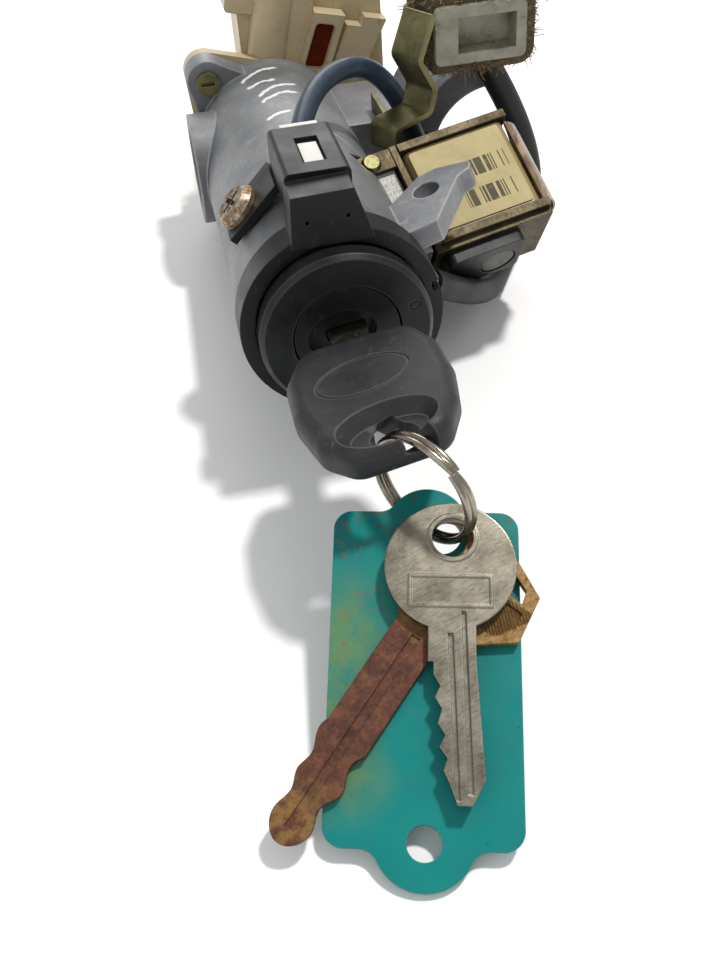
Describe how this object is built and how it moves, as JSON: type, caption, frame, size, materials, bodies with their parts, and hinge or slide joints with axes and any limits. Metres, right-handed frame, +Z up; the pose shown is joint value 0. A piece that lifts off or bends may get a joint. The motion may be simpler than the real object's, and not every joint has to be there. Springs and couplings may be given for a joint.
{
  "type": "key switch",
  "caption": "Steering-lock key switch: die-cast lock with key in the plug, antenna ring, interlock solenoid, rear switch, and a ring with a tag and two more keys.",
  "frame": {"origin": "centre of the bounding box's floor face: the point on the floor under the middle of the part", "axes": "+Z up from the floor, -Y towards the person turning the key, +X to their right; the lock's own axis runs towards +Y and 8 degrees down"},
  "size_m": [0.1016, 0.2382, 0.0717],
  "materials": {
    "die_cast": "satin, slightly grainy zinc casting",
    "black_plastic": "satin moulded",
    "key_plastic": "fine grained, worn",
    "brass": "satin",
    "steel": "satin",
    "dark_steel": "oiled",
    "copper": "lacquered copper",
    "white_plastic": "natural nylon",
    "beige_plastic": "yellowed moulding",
    "copper_red": "stained",
    "yellow_zinc": "yellow passivated zinc, worn",
    "coil_wrap": "resin tinted",
    "label_paper": "aged paper",
    "tape": "translucent film",
    "clear_plastic": "milky clear",
    "felt": "fuzzy felt tape",
    "tube_rubber": "matt sleeving",
    "cable_rubber": "satin sheath",
    "nickel": "worn nickel plate",
    "ring_steel": "worn bright",
    "teal_plastic": "scratched and stained",
    "old_brass": "dull, stained"
  },
  "bodies": {
    "housing": {"lock_housing": "die_cast", "cylinder_sleeve": "die_cast", "bezel_ring": "black_plastic", "return_spring": "steel", "bar_spring": "steel", "bar_cap": "dark_steel", "antenna_housing": "black_plastic", "antenna_coil": "copper", "antenna_plug": "black_plastic", "antenna_pins": "brass", "plug_lock": "white_plastic", "antenna_screw": "yellow_zinc", "switch_case": "beige_plastic", "switch_screws": "steel", "switch_contacts": "copper", "switch_terminals": "brass", "window_plate": "copper_red", "solenoid_frame": "yellow_zinc", "solenoid_bobbin": "white_plastic", "coil_winding": "copper", "coil_cover": "coil_wrap", "solenoid_label": "label_paper", "end_tape": "tape", "plunger_spring": "steel", "solenoid_bracket": "yellow_zinc", "bracket_rivet": "brass", "interlock_guide": "black_plastic", "pole_piece": "dark_steel", "connector_strip": "yellow_zinc", "harness_connector": "clear_plastic", "felt_wrap": "felt", "harness_tube": "tube_rubber", "antenna_cable": "cable_rubber", "harness_boot": "tube_rubber", "warning_switch": "black_plastic"},
    "plug": {"lock_plug": "die_cast", "wafer_tumblers": "brass", "plug_face": "black_plastic", "cam": "die_cast", "tail_shaft": "steel", "switch_rotor": "white_plastic"},
    "key": {"key_head": "key_plastic", "key_blade": "nickel", "transponder_chip": "black_plastic"},
    "bar": {"lock_bar": "steel"},
    "plunger": {"solenoid_plunger": "steel"},
    "warning": {"warning_plunger": "white_plastic"},
    "ring": {"split_ring": "ring_steel"},
    "tag": {"key_tag": "teal_plastic"},
    "hanging_old_key": {"old_key": "old_brass"},
    "hanging_cylinder_key": {"cylinder_key": "nickel"}
  },
  "joints": [
    {"name": "plug_turn", "type": "hinge", "parent": "housing", "child": "plug", "pos_m": [-0.01668, 0.00396, 0.03299], "axis": [0, 0.9903, -0.1392], "range_deg": [0, 130]},
    {"name": "key_slide", "type": "slide", "parent": "plug", "child": "key", "axis": [0, -0.9903, 0.1392], "range_m": [0, 0.032]},
    {"name": "bar_slide", "type": "slide", "parent": "housing", "child": "bar", "axis": [1, 0, 0], "range_m": [0, 0.005], "deforming": ["bar_spring"]},
    {"name": "plunger_slide", "type": "slide", "parent": "housing", "child": "plunger", "axis": [-0.1959, 0.8799, 0.4329], "range_m": [0, 0.003], "stiffness_N_per_m": 200, "deforming": ["plunger_spring"]},
    {"name": "warning_slide", "type": "slide", "parent": "housing", "child": "warning", "axis": [1, 0, 0], "range_m": [0, 0.001], "stiffness_N_per_m": 100},
    {"name": "ring_swing", "type": "hinge", "parent": "key", "child": "ring", "pos_m": [-0.01561, -0.05355, 0.04127], "axis": [0, 0, 1], "range_deg": [-8, 8]},
    {"name": "tag_swing", "type": "hinge", "parent": "ring", "child": "tag", "pos_m": [-0.00892, -0.06107, 0.02194], "axis": [-0.0861, -0.3191, 0.9438], "range_deg": [-4, 5]},
    {"name": "old_key_swing", "type": "hinge", "parent": "ring", "child": "hanging_old_key", "pos_m": [-0.00892, -0.06107, 0.02194], "axis": [-0.0861, -0.3191, 0.9438], "range_deg": [-5, 5]},
    {"name": "cylinder_key_swing", "type": "hinge", "parent": "ring", "child": "hanging_cylinder_key", "pos_m": [-0.00892, -0.06107, 0.02194], "axis": [-0.0861, -0.3191, 0.9438], "range_deg": [-5, 5]}
  ],
  "couplings": [
    {"joint": "bar_slide", "follows": "key_slide", "ratio": 0.15625}
  ]
}
